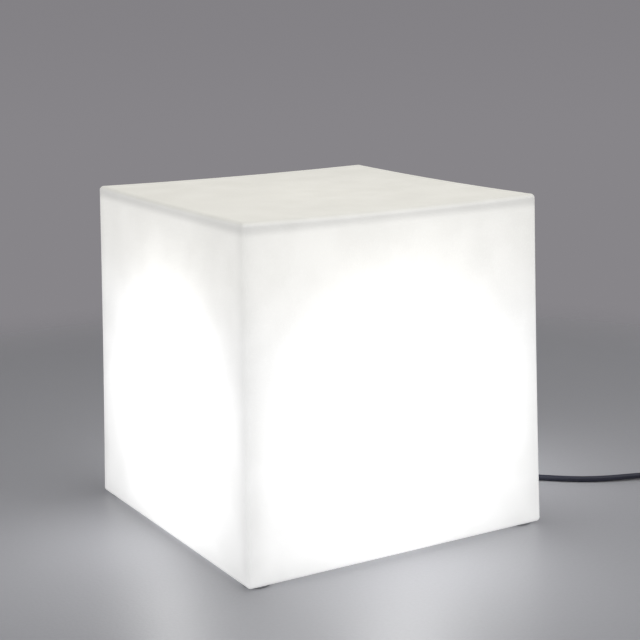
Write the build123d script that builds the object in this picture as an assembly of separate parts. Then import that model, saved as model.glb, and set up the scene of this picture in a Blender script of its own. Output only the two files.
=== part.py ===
from build123d import *
import os
from math import cos, pi, radians, sin, sqrt, tan

# Outdoor LED cube light, all sizes in millimetres.
# The origin is on the floor under the middle of the cube, with +Z up. The cord leaves along +X.

# ---- the lit cube ----
SIDE = 400.0  # width, depth and height over the feet
FOOT_PROUD = 2.5  # how far the feet stand out below the shell
WALL = 4.0  # rotomoulded wall
DRAFT = 1.25  # degrees that each side leans in, so that the shell leaves its mould
TOP_DISH = 4.0  # how far the middle of the top has shrunk in from its corners
SIDE_DISH = 1.2  # the same for each side, which the mould's draft leaves stiffer
EDGE_R = 5.0
FOOT_R = 15.0
FOOT_POCKET = 1.0
FOOT_IN = 20.0  # from the cube's sides to a foot's centre

# ---- the opening underneath ----
ROOF_Z = 36.0  # underside of the recess that takes the base unit
RECESS_R = 110.0
LEDGE_W = 11.0  # from the base screws in to the opening's edge
CHANNEL_W = 22.0  # the way out for the cord, under one side
CHANNEL_TOP_Z = 26.0
CHANNEL_CORNER = 4.0
BASE_SCREW_COUNT = 6
INSERT_R = 3.5
INSERT_LENGTH = 10.0
INSERT_BOSS_R = 7.0
INSERT_GROOVE_H = 1.2
INSERT_GROOVE_D = 0.5
INSERT_GROOVES_AT = (0.3, 0.7)  # shares of its length

# ---- clearances ----
SEAT_GAP = 0.05  # between pieces that are seated in each other
RUN_GAP = 0.08  # round a shaft that leaves its hole when the shell is lifted
BODY_GAP = 0.3  # between pieces that move past each other
SCREW_GAP = 0.3  # round a screw in its through hole
PLATE_GAP = 6.0  # between the base plate's edge and the recess's wall
GASKET_GAP = 1.0  # between the gasket and the opening's edge
SCREW_END_GAP = 1.0  # between a base screw's tip and the end of its insert

# ---- screws ----
M4_R = 2.0
M4_HEAD_R = 4.0
M4_HEAD_H = 2.6
M3_R = 1.5
M3_HEAD_R = 2.8
M3_HEAD_H = 1.8
CROSS_W = 0.9  # cross recess in a screw head
CROSS_REACH = 0.6  # its length over the head's width
HEAD_ROUND = 0.4  # share of the head's height that is rounded
TIP_CHAMFER = 0.3  # share of the shank's radius

# ---- base plate with its junction well ----
PLATE_T = 4.0
SCREW_IN = 9.0  # from the plate's edge in to its screws
GASKET_T = 1.5
GASKET_W = 5.0
WELL_R = 46.0
WELL_T = 3.0
WELL_Z = 3.0
WELL_FLOOR_T = 2.5
GLAND_Z = 17.0  # height of the cord's way out
GLAND_PAD_DEPTH = 5.0  # how far the gland's pad reaches into the well
GLAND_PAD_PROUD = 1.5  # and out of its wall
GLAND_PAD_W = 26.0
RIB_T = 2.4
RIB_H = 6.0
RIB_COUNT = 12

# ---- breather plug ----
VENT_TURN = -90.0  # degrees round from +X
VENT_R = 6.0
VENT_HEAD_R = 9.0
VENT_HEAD_H = 4.5
VENT_STEM_OVER = 3.0
VENT_SLOT_W = 1.2
VENT_SLOT_LOW = 2.4  # below the head's seat
VENT_SLOT_COUNT = 4

# ---- lampholder bracket ----
BRACKET_T = 1.5
BRACKET_W = 40.0
BRACKET_RISE = 30.0
BRACKET_FOOT_L = 19.0
BRACKET_LEG_OUT = 8.0  # from the well's wall to the outside of a leg
BRACKET_SCREW_L = 10.0
BRACKET_BOSS_R = 4.5
BRACKET_SCREW_Y = 13.0
BRACKET_BEND_R = 2.4  # outside of the upper bends
BRACKET_BEND_IN_R = 0.9

# ---- E27 lampholder ----
NIPPLE_R = 5.0
NIPPLE_BORE_R = 3.5
NIPPLE_LENGTH = 18.0
NIPPLE_NUT_AF = 14.0
NIPPLE_NUT_H = 4.0
NIPPLE_BELOW = 6.0
HOLDER_R = 20.5
HOLDER_WALL = 2.2
HOLDER_CAP_H = 21.0
HOLDER_NECK_R = 9.0
HOLDER_SLEEVE_H = 37.0
HOLDER_GRIP_COUNT = 24
HOLDER_GRIP_R = 0.9
CORE_T = 8.0
CONTACT_T = 0.5
CONTACT_TONGUE_T = 0.8
CONTACT_TONGUE_RISE = 3.0
CONTACT_TONGUE_W = 6.0

# ---- bulb ----
CAP_R = 13.1
CAP_THREAD_DEPTH = 0.9
CAP_PITCH = 3.6
CAP_TURNS = 5
CAP_PLAIN_H = 4.5
CAP_WALL = 0.6
CAP_INSULATOR_H = 4.5
CAP_BUTTON_R = 4.5
CAP_BUTTON_H = 1.2
HOUSING_H = 42.0
HOUSING_NECK_R = 15.0
HOUSING_WALL = 2.0
HOUSING_NECK_H = 12.0  # of its straight bore
BOARD_DOWN = 4.0  # from the housing's rim to the board's seat
BOARD_SEAT_W = 2.0
BOARD_SEAT_H = 5.0
GLOBE_R = 32.5
GLOBE_WALL = 1.4
GLOBE_COLLAR = 3.0
LED_BOARD_R = 26.0
LED_BOARD_T = 1.6
LED_COUNT = 14
LED_RING_R = 18.0
LED_SIZE = (3.5, 2.8, 0.8)

# ---- terminal block in the well ----
BLOCK_SIZE = (20.0, 24.0, 13.0)
BLOCK_X = -16.0
POLE_Y = 7.0
TERMINAL_APART = 11.0
WIRE_RISE = 5.5
WIRE_SIDE = 1.6  # how far each lead runs beside the nipple's axis
WIRE_HOLE_R = 1.6
WIRE_R = 1.2
LEAD_OUT = 7.0  # how far the leads stand out of the block before they turn up
LEAD_LEAN = 1.0
LEAD_RISE = 17.0
LEAD_PINCH = 0.8  # a lead's place beside the axis at the top of that rise, over that in the block
LEAD_STRAIGHT = 20.0  # below the bracket
LEAD_SHORT = 2.5  # below the top of the insulating core
CORE_STRAIGHT = 5.0  # at both ends of a core of the cord
CORE_APART = 0.4  # from the cord's axis, over its radius
TERMINAL_SCREW_R = 1.8
TERMINAL_SCREW_L = 4.5
TERMINAL_POCKET = 6.0

# ---- cord clamp ----
CLAMP_TO_NUT = 8.5  # from the locknut in to the clamp's middle
CLAMP_W = 8.0
CLAMP_T = 3.0
CLAMP_SCREW_Y = 11.0
CLAMP_BOSS_R = 4.0
CLAMP_SCREW_L = 8.0
SHEATH_PAST_CLAMP = 6.0  # how far the sheath runs on past the clamp

# ---- cord gland ----
GLAND_THREAD_R = 7.6
GLAND_AF = 19.0
GLAND_FLANGE_T = 5.0
GLAND_THREAD_L = 12.5
GLAND_LOCKNUT_T = 4.5
GLAND_COLLET_R = 7.4
GLAND_COLLET_L = 11.0
GLAND_BORE_R = 4.4
GLAND_SEAL_R = 6.2
GLAND_NUT_L = 17.0
GLAND_NUT_HEX_L = 9.0
ORING_T = 1.2
ORING_R = 9.0
RELIEF_L = 30.0
RELIEF_BIG_R = 6.6
RELIEF_SMALL_R = 4.9
RELIEF_GROOVES = 5
RELIEF_GROOVE = 0.7

# ---- cord ----
CORD_R = 3.75
CORD_LIE = 0.1  # between the cord and the floor
CORD_STRAIGHT = 21.0  # beyond the strain relief
BEND_SHARE = 0.45  # of the shorter run beside a corner
COIL_PITCH = 8.0
COIL_LAYER = 8.2
COIL_INNER_R = 30.0
COIL_DRAWN_IN = 1.5  # how much tighter than the spiral the half turn is that climbs a layer
COIL_HALF_TURNS = 16
TIE_T = 1.0
TIE_GAP = 0.6
TIE_ANGLE = 14.0
TAIL_RUN = 34.0  # from the coil's end to the straight end in the plug

# ---- plug ----
PLUG_R = 18.5
PLUG_FACE_L = 13.0
PLUG_GRIP_L = 27.0
PLUG_GRIP_R = 11.5
PLUG_FLAT = 15.5  # half the width across the two flattened sides
PLUG_BOOT_L = 24.0
PLUG_BOOT_BIG_R = 8.0
PLUG_BOOT_SMALL_R = 5.2
PIN_R = 2.4
PIN_LENGTH = 19.0
PIN_SPACING = 19.0
PIN_SEAT = 8.0
PIN_ROOT_R = 2.1  # the narrower end that is moulded in
PIN_NECK = 0.5  # how far that end shows
PIN_TIP = 1.5
PLUG_NOTCH_W = 8.0
PLUG_NOTCH_BACK = 4.0
PLUG_EDGE = 1.0
PLUG_SHOULDER = 2.0
PLUG_WAIST = 0.55  # of the grip's length

# ---- worked out from the sizes above ----
HALF = SIDE / 2
SHELL_Z = FOOT_PROUD
TILT = radians(DRAFT)
ROOF_TOP_Z = ROOF_Z + WALL
PLATE_R = RECESS_R - PLATE_GAP
SCREW_RING_R = PLATE_R - SCREW_IN
OPENING_R = SCREW_RING_R - LEDGE_W
GASKET_INNER_R = OPENING_R + GASKET_GAP
PLATE_TOP = ROOF_Z - GASKET_T
PLATE_Z = PLATE_TOP - PLATE_T
WELL_FLOOR = WELL_Z + WELL_FLOOR_T
WELL_BORE_R = WELL_R - WELL_T
BRACKET_LEG_X = WELL_R + BRACKET_LEG_OUT
BRACKET_Z = PLATE_TOP + BRACKET_RISE
BRACKET_TOP = BRACKET_Z + BRACKET_T
BRACKET_FOOT_X = BRACKET_LEG_X + BRACKET_FOOT_L / 2
CAP_BORE_Z = BRACKET_TOP + HOLDER_CAP_H
SLEEVE_TOP = CAP_BORE_Z + HOLDER_SLEEVE_H
CORE_TOP = CAP_BORE_Z + CORE_T
TONGUE_TOP = CORE_TOP + CONTACT_TONGUE_RISE
SHELL_CONTACT_R = CAP_R + BODY_GAP
BULB_Z = TONGUE_TOP + BODY_GAP
CAP_Z = BULB_Z + CAP_BUTTON_H + CAP_INSULATOR_H
CAP_TOP = CAP_Z + CAP_TURNS * CAP_PITCH + CAP_PLAIN_H
HOUSING_TOP = CAP_TOP + HOUSING_H
BOARD_Z = HOUSING_TOP - BOARD_DOWN
VENT_RING_R = (WELL_R + OPENING_R) / 2
VENT_AT = (VENT_RING_R * cos(radians(VENT_TURN)), VENT_RING_R * sin(radians(VENT_TURN)))
GLAND_PAD_IN = WELL_R - GLAND_PAD_DEPTH
GLAND_PAD_OUT = WELL_R + GLAND_PAD_PROUD
CLAMP_X = GLAND_PAD_IN - GLAND_LOCKNUT_T - CLAMP_TO_NUT
SHEATH_END_X = CLAMP_X - CLAMP_W / 2 - SHEATH_PAST_CLAMP
GLAND_FACE_X = GLAND_PAD_OUT + ORING_T
GLAND_HEX_END_X = GLAND_FACE_X + GLAND_FLANGE_T
NUT_X = GLAND_HEX_END_X + BODY_GAP
NUT_END_X = NUT_X + GLAND_NUT_L
RELIEF_X = NUT_END_X
EXIT_X = RELIEF_X + RELIEF_L
COIL_LOW_Z = CORD_R + TIE_T + TIE_GAP
COIL_HIGH_Z = COIL_LOW_Z + COIL_LAYER
CORD_Z = CORD_R + CORD_LIE
BLOCK_TOP = WELL_FLOOR + BLOCK_SIZE[2]
BLOCK_LOW_X = BLOCK_X - BLOCK_SIZE[0] / 2
BLOCK_HIGH_X = BLOCK_X + BLOCK_SIZE[0] / 2
TERMINAL_X = (BLOCK_X - TERMINAL_APART / 2, BLOCK_X + TERMINAL_APART / 2)
WIRE_Z = WELL_FLOOR + WIRE_RISE
PLUG_FACE_Z = PLUG_BOOT_L + PLUG_GRIP_L
PLUG_FRONT_Z = PLUG_FACE_Z + PLUG_FACE_L
PIN_WALL = PIN_LENGTH - PIN_NECK - PIN_TIP

# The free stretch of the cord, from the strain relief to the coil, as the photograph shows it.
CORD_ROUTE = [
    Vector(EXIT_X, 0, GLAND_Z),
    Vector(EXIT_X + CORD_STRAIGHT, 0, GLAND_Z),
    Vector(158, 0.5, CORD_Z),
    Vector(203, 4, CORD_Z),
    Vector(246, -16, CORD_Z),
    Vector(306, -79, CORD_Z),
    Vector(352, -117, CORD_Z),
    Vector(417, -143, COIL_LOW_Z),
    Vector(470, -163, COIL_LOW_Z),
]

# The coil lies to the right of the cord as it arrives, and the plug straight ahead of it.
COIL_OUTER_R = COIL_INNER_R + COIL_DRAWN_IN + COIL_HALF_TURNS / 2 * COIL_PITCH / 2
COIL_HEADING = (CORD_ROUTE[-1] - CORD_ROUTE[-2]).normalized()
COIL_RIGHT = COIL_HEADING.rotate(Axis.Z, -90)
COIL_START = CORD_ROUTE[-1] + COIL_HEADING * 2 * CORD_R
COIL_CENTRE = COIL_START + COIL_RIGHT * COIL_OUTER_R


# ---- small builders ----
def disc(radius, low, high, at=(0, 0)):
    return Pos(at[0], at[1], low) * extrude(Circle(radius), amount=high - low)


def block(x_span, y_span, z_span):
    size = (x_span[1] - x_span[0], y_span[1] - y_span[0], z_span[1] - z_span[0])
    middle = [(span[0] + span[1]) / 2 for span in (x_span, y_span, z_span)]
    return Pos(*middle) * Box(*size)


def hexagon(across_flats, low, high):
    outline = RegularPolygon(across_flats / 2, 6, major_radius=False)
    return Pos(0, 0, low) * extrude(outline, amount=high - low)


def turned(outline):
    """A solid of revolution about Z from (radius, height) points."""
    return revolve(Plane.XZ * make_face(Polyline(*outline, close=True)), Axis.Z)


def along_x(solid, x, y, z):
    """Lay a solid that was built up Z along +X, with its foot at a point."""
    return Pos(x, y, z) * (Rot(0, 90, 0) * solid)


def ring_of(count, radius, phase=0.0):
    angles = [phase + 2 * pi * index / count for index in range(count)]
    return [(radius * cos(angle), radius * sin(angle)) for angle in angles]


def screw(shank_r, head_r, head_h, length):
    """A pan-head screw with its head's seat at the origin and its shank up +Z."""
    head = fillet(disc(head_r, -head_h, 0).edges().group_by(Axis.Z)[0], head_h * HEAD_ROUND)
    shank = chamfer(disc(shank_r, 0, length).edges().group_by(Axis.Z)[-1], shank_r * TIP_CHAMFER)
    reach = head_r * CROSS_REACH
    slot = block((-reach, reach), (-CROSS_W / 2, CROSS_W / 2), (-head_h, -head_h / 2))
    return head + shank - slot - Rot(0, 0, 90) * slot


def tube(points, radii, radius):
    """A round tube whose straight runs are joined by tangent arcs."""
    path = FilletPolyline(*points, radius=radii)
    return sweep(Plane(path @ 0, z_dir=path % 0) * Circle(radius), path=path), path


def bend_radii(points):
    """The radius at each corner: as large as the two runs beside it allow."""
    radii = []
    for before, corner, after in zip(points, points[1:], points[2:]):
        run_in = corner - before
        run_out = after - corner
        turn = radians(run_in.get_angle(run_out))
        radii.append(BEND_SHARE * min(run_in.length, run_out.length) / tan(turn / 2))
    return radii


def dish_radius(depth):
    """The radius of a ball that dips that far below the four corners of a face."""
    corner = HALF * sqrt(2)
    return (corner**2 + depth**2) / (2 * depth)


def save(name, solids):
    shape = Compound(children=list(solids)) if isinstance(solids, list) else solids
    export_step(shape, f"parts/{name}.step")


# ---- the cube ----
def cube_form(inset, edge_r):
    """The cube's form, a distance in from its outside: drafted, with every face but the lowest shrunk in."""
    half = HALF - inset / cos(TILT) - inset * tan(TILT)
    low = SHELL_Z + inset
    form = Pos(0, 0, low) * extrude(Rectangle(2 * half, 2 * half), amount=SIDE - inset - low, taper=DRAFT)
    middle_z = (SHELL_Z + SIDE) / 2
    middle_half = HALF - (middle_z - SHELL_Z) * tan(TILT)
    faces = [(Vector(0, 0, SIDE), Vector(0, 0, 1), Vector(0, 1, 0), TOP_DISH)]
    for quarter in range(4):
        across = Vector(cos(quarter * pi / 2), sin(quarter * pi / 2), 0)
        outward = across * cos(TILT) + Vector(0, 0, sin(TILT))
        middle = across * middle_half + Vector(0, 0, middle_z)
        faces.append((middle, outward, across.rotate(Axis.Z, 90), SIDE_DISH))
    for middle, outward, sideways, dish in faces:
        ball_r = dish_radius(dish)
        ball_at = Plane(origin=middle + outward * (ball_r - dish), x_dir=outward, z_dir=sideways)
        form -= ball_at * Sphere(ball_r + inset)
    return fillet(form.edges(), edge_r)


def channel_form(extra, low, inner_x):
    """The cord's way out under the shell's +X side, open downward."""
    half = CHANNEL_W / 2 + extra
    top = CHANNEL_TOP_Z + extra
    form = block((inner_x, SIDE), (-half, half), (low, top))
    upper = form.edges().filter_by(Axis.X).group_by(Axis.Z)[-1]
    return fillet(upper, CHANNEL_CORNER + extra)


def diffuser_shell():
    outer = cube_form(0, EDGE_R)
    walls = outer - cube_form(WALL, EDGE_R)  # as round inside, because the powder gathers in the corners
    pot = disc(RECESS_R + WALL, SHELL_Z, ROOF_TOP_Z) + channel_form(WALL, SHELL_Z, RECESS_R)
    for at in ring_of(BASE_SCREW_COUNT, SCREW_RING_R, pi / BASE_SCREW_COUNT):
        pot += disc(INSERT_BOSS_R, ROOF_Z, ROOF_Z + INSERT_LENGTH + WALL, at)
    shell = walls + (pot & outer)
    shell -= disc(RECESS_R, 0, ROOF_Z)
    shell -= disc(OPENING_R, 0, ROOF_TOP_Z + WALL)
    shell -= channel_form(0, 0, RECESS_R - WALL)
    for at in ring_of(BASE_SCREW_COUNT, SCREW_RING_R, pi / BASE_SCREW_COUNT):
        shell -= disc(INSERT_R + SEAT_GAP, ROOF_Z, ROOF_Z + INSERT_LENGTH + SEAT_GAP, at)
    for at in foot_places():
        shell -= disc(FOOT_R + BODY_GAP, SHELL_Z, SHELL_Z + FOOT_POCKET, at)
    return shell


def foot_places():
    place = HALF - FOOT_IN
    return [(x, y) for x in (-place, place) for y in (-place, place)]


def foot_pads():
    pads = []
    for at in foot_places():
        pad = disc(FOOT_R, 0, SHELL_Z + FOOT_POCKET, at)
        pads.append(fillet(pad.edges().group_by(Axis.Z)[0], FOOT_PROUD / 2))
    return pads


def threaded_inserts():
    inserts = []
    for at in ring_of(BASE_SCREW_COUNT, SCREW_RING_R, pi / BASE_SCREW_COUNT):
        body = disc(INSERT_R, ROOF_Z, ROOF_Z + INSERT_LENGTH, at)
        for share in INSERT_GROOVES_AT:
            low = ROOF_Z + INSERT_LENGTH * share - INSERT_GROOVE_H / 2
            high = low + INSERT_GROOVE_H
            groove = disc(INSERT_R + 1, low, high, at)
            body -= groove - disc(INSERT_R - INSERT_GROOVE_D, low, high, at)
        inserts.append(body - disc(M4_R + RUN_GAP, ROOF_Z, ROOF_Z + INSERT_LENGTH, at))
    return inserts


# ---- the base unit ----
def base_plate():
    plate = disc(PLATE_R, PLATE_Z, PLATE_TOP)
    plate = chamfer(plate.edges().group_by(Axis.Z)[0], PLATE_T / 4)
    plate += disc(WELL_R, WELL_Z, PLATE_TOP)
    half_pad = GLAND_PAD_W / 2
    plate += block((0, GLAND_PAD_OUT), (-half_pad, half_pad), (WELL_Z, PLATE_TOP))
    rib_x = (WELL_R - WELL_T / 2, PLATE_R - RIB_H)
    rib = block(rib_x, (-RIB_T / 2, RIB_T / 2), (PLATE_Z - RIB_H, PLATE_Z))
    for index in range(RIB_COUNT):
        plate += Rot(0, 0, 360 * (index + 0.5) / RIB_COUNT) * rib
    boss_low = PLATE_TOP - BRACKET_SCREW_L - BRACKET_T
    for at in bracket_screw_places():
        plate += disc(BRACKET_BOSS_R, boss_low, PLATE_TOP, at)
    inside = disc(WELL_BORE_R, WELL_FLOOR, PLATE_TOP)
    inside &= block((-WELL_R, GLAND_PAD_IN), (-WELL_R, WELL_R), (0, PLATE_TOP))
    plate -= inside
    plate += clamp_bosses()
    for at in bracket_screw_places():
        plate -= disc(M4_R + SEAT_GAP, boss_low + BRACKET_T, PLATE_TOP, at)
    for at in ring_of(BASE_SCREW_COUNT, SCREW_RING_R, pi / BASE_SCREW_COUNT):
        plate -= disc(M4_R + SCREW_GAP, PLATE_Z, PLATE_TOP, at)
    plate -= disc(VENT_R + SEAT_GAP, PLATE_Z, PLATE_TOP, VENT_AT)
    plate -= along_x(disc(GLAND_THREAD_R + SEAT_GAP, 0, WELL_R), GLAND_PAD_IN - 1, 0, GLAND_Z)
    plate -= disc(M3_R + SEAT_GAP, WELL_Z + 1, WELL_FLOOR, (BLOCK_X, 0))
    return plate


def clamp_bosses():
    """The saddle under the clamped cord, with a boss for a screw at each end."""
    top = GLAND_Z + CORD_R + SEAT_GAP
    saddle_top = GLAND_Z - CORD_R - SEAT_GAP
    x_span = (CLAMP_X - CLAMP_W / 2, CLAMP_X + CLAMP_W / 2)
    bosses = block(x_span, (-CLAMP_SCREW_Y, CLAMP_SCREW_Y), (WELL_FLOOR, saddle_top))
    for y in (-CLAMP_SCREW_Y, CLAMP_SCREW_Y):
        bosses += disc(CLAMP_BOSS_R, WELL_FLOOR, top, (CLAMP_X, y))
        bosses -= disc(M3_R + SEAT_GAP, top - CLAMP_SCREW_L + CLAMP_T, top, (CLAMP_X, y))
    return bosses


def base_gasket():
    outer = disc(GASKET_INNER_R + GASKET_W, PLATE_TOP, ROOF_Z)
    return outer - disc(GASKET_INNER_R, PLATE_TOP, ROOF_Z)


def base_screws():
    length = PLATE_T + GASKET_T + INSERT_LENGTH - SCREW_END_GAP
    one = screw(M4_R, M4_HEAD_R, M4_HEAD_H, length)
    places = ring_of(BASE_SCREW_COUNT, SCREW_RING_R, pi / BASE_SCREW_COUNT)
    return [Pos(x, y, PLATE_Z) * one for x, y in places]


def vent_plug():
    stem = disc(VENT_R, PLATE_Z, PLATE_TOP + VENT_STEM_OVER, VENT_AT)
    head = disc(VENT_HEAD_R, PLATE_Z - VENT_HEAD_H, PLATE_Z, VENT_AT)
    head = fillet(head.edges().group_by(Axis.Z)[0], VENT_HEAD_H / 3)
    vent = stem + head
    low = PLATE_Z - VENT_SLOT_LOW
    half = VENT_SLOT_W / 2
    slot = block((0, VENT_HEAD_R + 1), (-half, half), (low, low + VENT_SLOT_W))
    for index in range(VENT_SLOT_COUNT):
        turn = 360 * (index + 0.5) / VENT_SLOT_COUNT
        vent -= Pos(VENT_AT[0], VENT_AT[1], 0) * (Rot(0, 0, turn) * slot)
    return vent


def lampholder_bracket():
    half_w = BRACKET_W / 2
    leg = BRACKET_LEG_X
    outline = [
        (-leg - BRACKET_FOOT_L, PLATE_TOP),
        (-leg + BRACKET_T, PLATE_TOP),
        (-leg + BRACKET_T, BRACKET_Z),
        (leg - BRACKET_T, BRACKET_Z),
        (leg - BRACKET_T, PLATE_TOP),
        (leg + BRACKET_FOOT_L, PLATE_TOP),
        (leg + BRACKET_FOOT_L, PLATE_TOP + BRACKET_T),
        (leg, PLATE_TOP + BRACKET_T),
        (leg, BRACKET_TOP),
        (-leg, BRACKET_TOP),
        (-leg, PLATE_TOP + BRACKET_T),
        (-leg - BRACKET_FOOT_L, PLATE_TOP + BRACKET_T),
    ]
    profile = Plane.XZ * make_face(Polyline(*outline, close=True))
    bracket = extrude(profile, amount=half_w, both=True)
    bracket = fillet(bracket.edges().filter_by(Axis.Y).group_by(Axis.Z)[-1], BRACKET_BEND_R)
    across = bracket.edges().filter_by(Axis.Y)
    inside = across.filter_by_position(Axis.Z, BRACKET_Z - SEAT_GAP, BRACKET_Z + SEAT_GAP)
    bracket = fillet(inside, BRACKET_BEND_IN_R)
    bracket -= disc(NIPPLE_R + SEAT_GAP, BRACKET_Z, BRACKET_TOP)
    for at in bracket_screw_places():
        bracket -= disc(M4_R + SCREW_GAP, PLATE_TOP, PLATE_TOP + BRACKET_T, at)
    return bracket


def bracket_screw_places():
    return [(x, y) for x in (-BRACKET_FOOT_X, BRACKET_FOOT_X) for y in (-BRACKET_SCREW_Y, BRACKET_SCREW_Y)]


def bracket_screws():
    one = Rot(180, 0, 0) * screw(M4_R, M4_HEAD_R, M4_HEAD_H, BRACKET_SCREW_L)
    top = PLATE_TOP + BRACKET_T
    return [Pos(x, y, top) * one for x, y in bracket_screw_places()]


# ---- lampholder ----
def lampholder_nipple():
    low = BRACKET_Z - NIPPLE_BELOW
    return disc(NIPPLE_R, low, low + NIPPLE_LENGTH) - disc(NIPPLE_BORE_R, low, low + NIPPLE_LENGTH)


def nipple_nut():
    low = BRACKET_Z - NIPPLE_NUT_H
    nut = hexagon(NIPPLE_NUT_AF, low, BRACKET_Z)
    return nut - disc(NIPPLE_R + SEAT_GAP, low, BRACKET_Z)


def lampholder_cap():
    """The lower half: a bell on a threaded neck."""
    bell = BRACKET_TOP + HOLDER_CAP_H * 0.45
    bore_r = HOLDER_R - HOLDER_WALL
    neck_bore = NIPPLE_R + SEAT_GAP
    step = BRACKET_TOP + NIPPLE_LENGTH - NIPPLE_BELOW - BRACKET_T
    return turned([
        (neck_bore, BRACKET_TOP),
        (HOLDER_NECK_R, BRACKET_TOP),
        (HOLDER_NECK_R + 1.5, BRACKET_TOP + 2),
        (HOLDER_R - 3, bell - 1.5),
        (HOLDER_R, bell + 3),
        (HOLDER_R, CAP_BORE_Z),
        (bore_r, CAP_BORE_Z),
        (bore_r, bell + 4),
        (neck_bore + 5, step),
        (neck_bore, step),
    ])


def lampholder_sleeve():
    """The upper half, with grip grooves round its lower part and a rolled rim."""
    bore_r = SHELL_CONTACT_R + CONTACT_T + SEAT_GAP
    grip_top = CAP_BORE_Z + HOLDER_SLEEVE_H * 0.45
    sleeve = turned([
        (HOLDER_R - HOLDER_WALL, CAP_BORE_Z),
        (HOLDER_R, CAP_BORE_Z),
        (HOLDER_R, grip_top),
        (HOLDER_R - 1.5, grip_top + 3),
        (HOLDER_R - 1.5, SLEEVE_TOP - 3),
        (HOLDER_R - 0.5, SLEEVE_TOP - 2),
        (HOLDER_R - 0.5, SLEEVE_TOP - 0.6),
        (HOLDER_R - 1.2, SLEEVE_TOP),
        (bore_r, SLEEVE_TOP),
        (bore_r, CORE_TOP),
        (HOLDER_R - HOLDER_WALL, CORE_TOP),
    ])
    for at in ring_of(HOLDER_GRIP_COUNT, HOLDER_R):
        sleeve -= disc(HOLDER_GRIP_R, CAP_BORE_Z + 1.5, grip_top - 1, at)
    return sleeve


def lampholder_core():
    """The insulating disc inside, which carries both contacts."""
    core = disc(HOLDER_R - HOLDER_WALL - SEAT_GAP, CAP_BORE_Z, CORE_TOP)
    for y in (-WIRE_SIDE, WIRE_SIDE):
        core -= disc(WIRE_R + SEAT_GAP, CAP_BORE_Z, CORE_TOP - 2, (0, y))
    return core


def contact_shell():
    """The threaded metal shell that the bulb's cap turns in."""
    top = SLEEVE_TOP - 3
    return disc(SHELL_CONTACT_R + CONTACT_T, CORE_TOP, top) - disc(SHELL_CONTACT_R, CORE_TOP, top)


def centre_contact():
    """A sprung brass tongue, bent up from the core to the bulb's centre contact."""
    half = CONTACT_TONGUE_W / 2
    outline = [
        (-7.0, CORE_TOP),
        (-1.5, CORE_TOP),
        (-1.5, CORE_TOP + CONTACT_TONGUE_T),
        (2.5, TONGUE_TOP - CONTACT_TONGUE_T),
        (5.0, TONGUE_TOP - CONTACT_TONGUE_T),
        (5.0, TONGUE_TOP),
        (2.0, TONGUE_TOP),
        (-2.2, CORE_TOP + CONTACT_TONGUE_T),
        (-7.0, CORE_TOP + CONTACT_TONGUE_T),
    ]
    return extrude(Plane.XZ * make_face(Polyline(*outline, close=True)), amount=half, both=True)


# ---- bulb ----
def bulb_cap():
    """The E27 screw cap: a thin shell whose thread is drawn as rounded rings."""
    low = CAP_Z
    core_r = CAP_R - CAP_THREAD_DEPTH
    wall_r = core_r - CAP_WALL
    outline = [(wall_r, low), (core_r, low)]
    for turn in range(CAP_TURNS):
        start = low + turn * CAP_PITCH
        outline.append((core_r, start + CAP_PITCH * 0.15))
        outline.append((CAP_R, start + CAP_PITCH * 0.4))
        outline.append((CAP_R, start + CAP_PITCH * 0.6))
        outline.append((core_r, start + CAP_PITCH * 0.85))
    outline += [(core_r, CAP_TOP - CAP_PLAIN_H + 0.4), (CAP_R, CAP_TOP - CAP_PLAIN_H + 1.4), (CAP_R, CAP_TOP)]
    outline += [(wall_r, CAP_TOP)]
    return turned(outline)


def bulb_cap_insulator():
    return turned([
        (0, CAP_Z - CAP_INSULATOR_H),
        (CAP_BUTTON_R + 0.5, CAP_Z - CAP_INSULATOR_H),
        (CAP_R - CAP_THREAD_DEPTH - 0.4, CAP_Z - 1.2),
        (CAP_R - CAP_THREAD_DEPTH - 0.4, CAP_Z),
        (0, CAP_Z),
    ])


def bulb_centre_contact():
    button = disc(CAP_BUTTON_R, BULB_Z, BULB_Z + CAP_BUTTON_H)
    return fillet(button.edges().group_by(Axis.Z)[0], CAP_BUTTON_H * 0.6)


def bulb_housing():
    """The flared heat sink between screw cap and globe."""
    outer = Line((HOUSING_NECK_R, CAP_TOP), (HOUSING_NECK_R, CAP_TOP + 4))
    flare = Bezier(
        outer @ 1,
        (HOUSING_NECK_R, CAP_TOP + HOUSING_H * 0.45),
        (GLOBE_R, CAP_TOP + HOUSING_H * 0.55),
        (GLOBE_R, HOUSING_TOP),
    )
    inner_r = GLOBE_R - HOUSING_WALL
    neck_in = HOUSING_NECK_R - HOUSING_WALL
    seat_r = LED_BOARD_R - BOARD_SEAT_W
    inside = Polyline(
        (GLOBE_R, HOUSING_TOP),
        (inner_r, HOUSING_TOP),
        (inner_r, BOARD_Z),
        (seat_r, BOARD_Z),
        (seat_r, BOARD_Z - BOARD_SEAT_H),
        (neck_in, CAP_TOP + HOUSING_NECK_H),
        (neck_in, CAP_TOP),
        (HOUSING_NECK_R, CAP_TOP),
    )
    return revolve(Plane.XZ * make_face([outer, flare, *inside.edges()]), Axis.Z)


def bulb_led_board():
    return disc(LED_BOARD_R, BOARD_Z, BOARD_Z + LED_BOARD_T)


def bulb_led_chips():
    middle = BOARD_Z + LED_BOARD_T + LED_SIZE[2] / 2
    chips = []
    for index in range(LED_COUNT):
        place = Rot(0, 0, 360 * index / LED_COUNT) * Pos(LED_RING_R, 0, middle)
        chips.append(place * Box(*LED_SIZE))
    return chips


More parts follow.
